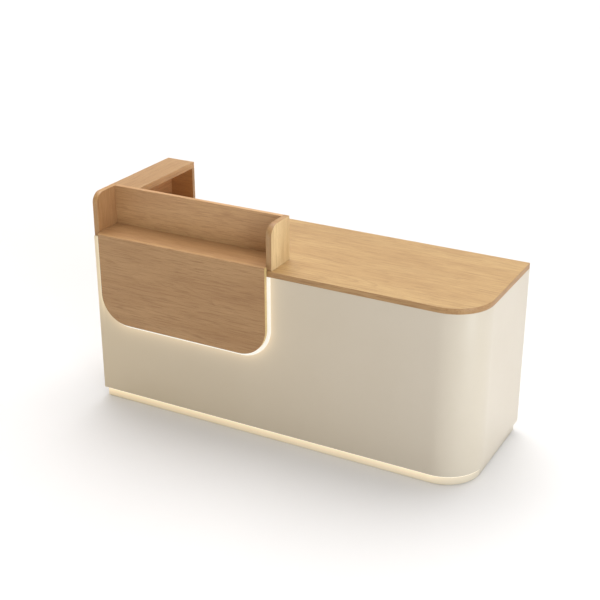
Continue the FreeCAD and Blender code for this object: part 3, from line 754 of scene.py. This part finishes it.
def make_driver_details():
    """Ribs on the LED driver's lid, a cover over the terminals at each end, and its fixing lugs."""
    low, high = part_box("led_driver")
    cover = (high.x - low.x) * 0.14
    lid = high.y
    middle = (low.z + high.z) / 2

    def ribs(mesh):
        count = 7
        start, end = low.x + cover * 1.4, high.x - cover * 1.4
        for step in range(count):
            x = start + (end - start) * step / (count - 1)
            near = (x - RIB_HALF, lid, low.z + RIB_EDGE)
            far = (x + RIB_HALF, lid + RIB_LIFT, high.z - RIB_EDGE)
            eased_block(mesh, near, far, 0.0004)

    def covers(mesh):
        for x0 in (low.x + DRIVER_EDGE, high.x - DRIVER_EDGE - cover):
            near = (x0, lid, low.z + DRIVER_EDGE)
            far = (x0 + cover, lid + COVER_LIFT, high.z - DRIVER_EDGE)
            eased_block(mesh, near, far, 0.0009)

    def lugs(mesh):
        for x0, x1 in ((low.x - LUG_REACH, low.x), (high.x, high.x + LUG_REACH)):
            near = (x0, low.y, middle - LUG_HALF)
            far = (x1, low.y + LUG_T, middle + LUG_HALF)
            eased_block(mesh, near, far, 0.0008)

    fitting("driver_ribs", "counter", "driver_plastic", ribs)
    fitting("driver_terminal_covers", "counter", "dark_plastic", covers)
    fitting("driver_lugs", "counter", "driver_plastic", lugs)
    on_lugs = (low.x - LUG_REACH / 2, high.x + LUG_REACH / 2)
    on_covers = (low.x + DRIVER_EDGE + cover / 2, high.x - DRIVER_EDGE - cover / 2)
    heads = [Vector((x, low.y + LUG_T, middle)) for x in on_lugs]
    heads += [Vector((x, lid + COVER_LIFT, middle)) for x in on_covers]
    fitting("driver_screws", "counter", "zinc_steel", at_each(screw, heads, (0, 1, 0), 0.0032, 0.0007))


# ---------------------------------------------------------------- stage, lights and camera

# Sine of the elevation at which the horizon begins, and ends, giving way to the room
HORIZON_FADE = (0.10, 0.32)
HORIZON_COLOUR = rgb(0.97, 0.95, 0.92)
ROOM_COLOUR = rgb(0.17, 0.122, 0.078)
COOL_LIGHT = (0.86, 0.95, 1.0)
WARM_LIGHT = (1.0, 0.985, 0.96)


def make_stage():
    """A plain pale floor, much wider than any view."""
    size = 40.0
    mesh = bpy.data.meshes.new("floor")
    corners = [(-size, -size, 0), (size, -size, 0), (size, size, 0), (-size, size, 0)]
    mesh.from_pydata(corners, [], [(0, 1, 2, 3)])
    floor = bpy.data.objects.new("floor", mesh)
    bpy.context.scene.collection.objects.link(floor)
    g = Graph("floor_pale")
    speck = g.noise(g.place(), 2.0, 3.0)
    g.set(Base_Color=g.mix(speck, rgb(0.645, 0.652, 0.672), rgb(0.660, 0.667, 0.687)), Roughness=0.9)
    mesh.materials.append(g.material)


def far_light(name, azimuth, elevation, spread, power, colour):
    """A soft light far away, so that every part of the counter gets the same; angles in degrees."""
    data = bpy.data.lights.new(name, "SUN")
    data.energy = power
    data.angle = math.radians(spread)
    data.color = colour
    light = bpy.data.objects.new(name, data)
    light.rotation_euler = (math.radians(90 - elevation), 0.0, math.radians(azimuth))
    bpy.context.scene.collection.objects.link(light)


def softbox(name, place, target, size, power, colour):
    """A rectangular soft light at place that faces target and isn't seen itself."""
    data = bpy.data.lights.new(name, "AREA")
    data.shape = "RECTANGLE"
    data.size, data.size_y = size
    data.energy = power
    data.color = colour
    light = bpy.data.objects.new(name, data)
    light.location = place
    light.rotation_euler = (Vector(target) - Vector(place)).to_track_quat("-Z", "Y").to_euler()
    light.visible_camera = False
    bpy.context.scene.collection.objects.link(light)


def make_lights():
    """A pale horizon under a warm room, a cool key and a fill from the right end, and a light from above."""
    world = bpy.data.worlds.new("studio")
    bpy.context.scene.world = world
    world.use_nodes = True
    tree = world.node_tree
    room = tree.nodes["Background"]
    towards = tree.nodes.new("ShaderNodeSeparateXYZ")
    tree.links.new(tree.nodes.new("ShaderNodeTexCoord").outputs["Generated"], towards.inputs[0])
    height = tree.nodes.new("ShaderNodeMapRange")
    height.interpolation_type = "SMOOTHSTEP"
    height.inputs["From Min"].default_value = HORIZON_FADE[0]
    height.inputs["From Max"].default_value = HORIZON_FADE[1]
    tree.links.new(towards.outputs["Z"], height.inputs["Value"])
    shade = tree.nodes.new("ShaderNodeMix")
    shade.data_type = "RGBA"
    shade.inputs["A"].default_value = HORIZON_COLOUR
    shade.inputs["B"].default_value = ROOM_COLOUR
    tree.links.new(height.outputs["Result"], shade.inputs["Factor"])
    tree.links.new(shade.outputs["Result"], room.inputs["Color"])
    far_light("key", 56.0, 14.0, 30.0, 1.32, COOL_LIGHT)
    softbox("corner_fill", (2.35, -0.68, 0.45), (0.72, -0.10, 0.42), (0.7, 0.8), 5.5, COOL_LIGHT)
    far_light("overhead", 195.0, 70.0, 70.0, 4.5, WARM_LIGHT)


def make_camera():
    """The camera that the main view is taken with."""
    data = bpy.data.cameras.new("camera")
    data.lens = CAMERA_LENS
    data.sensor_width = CAMERA_SENSOR
    camera = bpy.data.objects.new("camera", data)
    camera.location = CAMERA_PLACE
    camera.rotation_euler = (math.radians(90 - CAMERA_ELEVATION), 0.0, math.radians(CAMERA_AZIMUTH))
    bpy.context.scene.collection.objects.link(camera)
    bpy.context.scene.camera = camera


make_camera()
make_stage()
make_lights()
paint_display_box()
paint_fronts()
paint_body()
paint_inside()
ease_boards()
make_handle_fittings()
make_bumpers()
make_hinge_screws()
make_runner_screws()
make_drawer_screws()
make_pin_holes()
make_block_screws()
make_driver_details()
bpy.context.scene.view_settings.view_transform = "Standard"
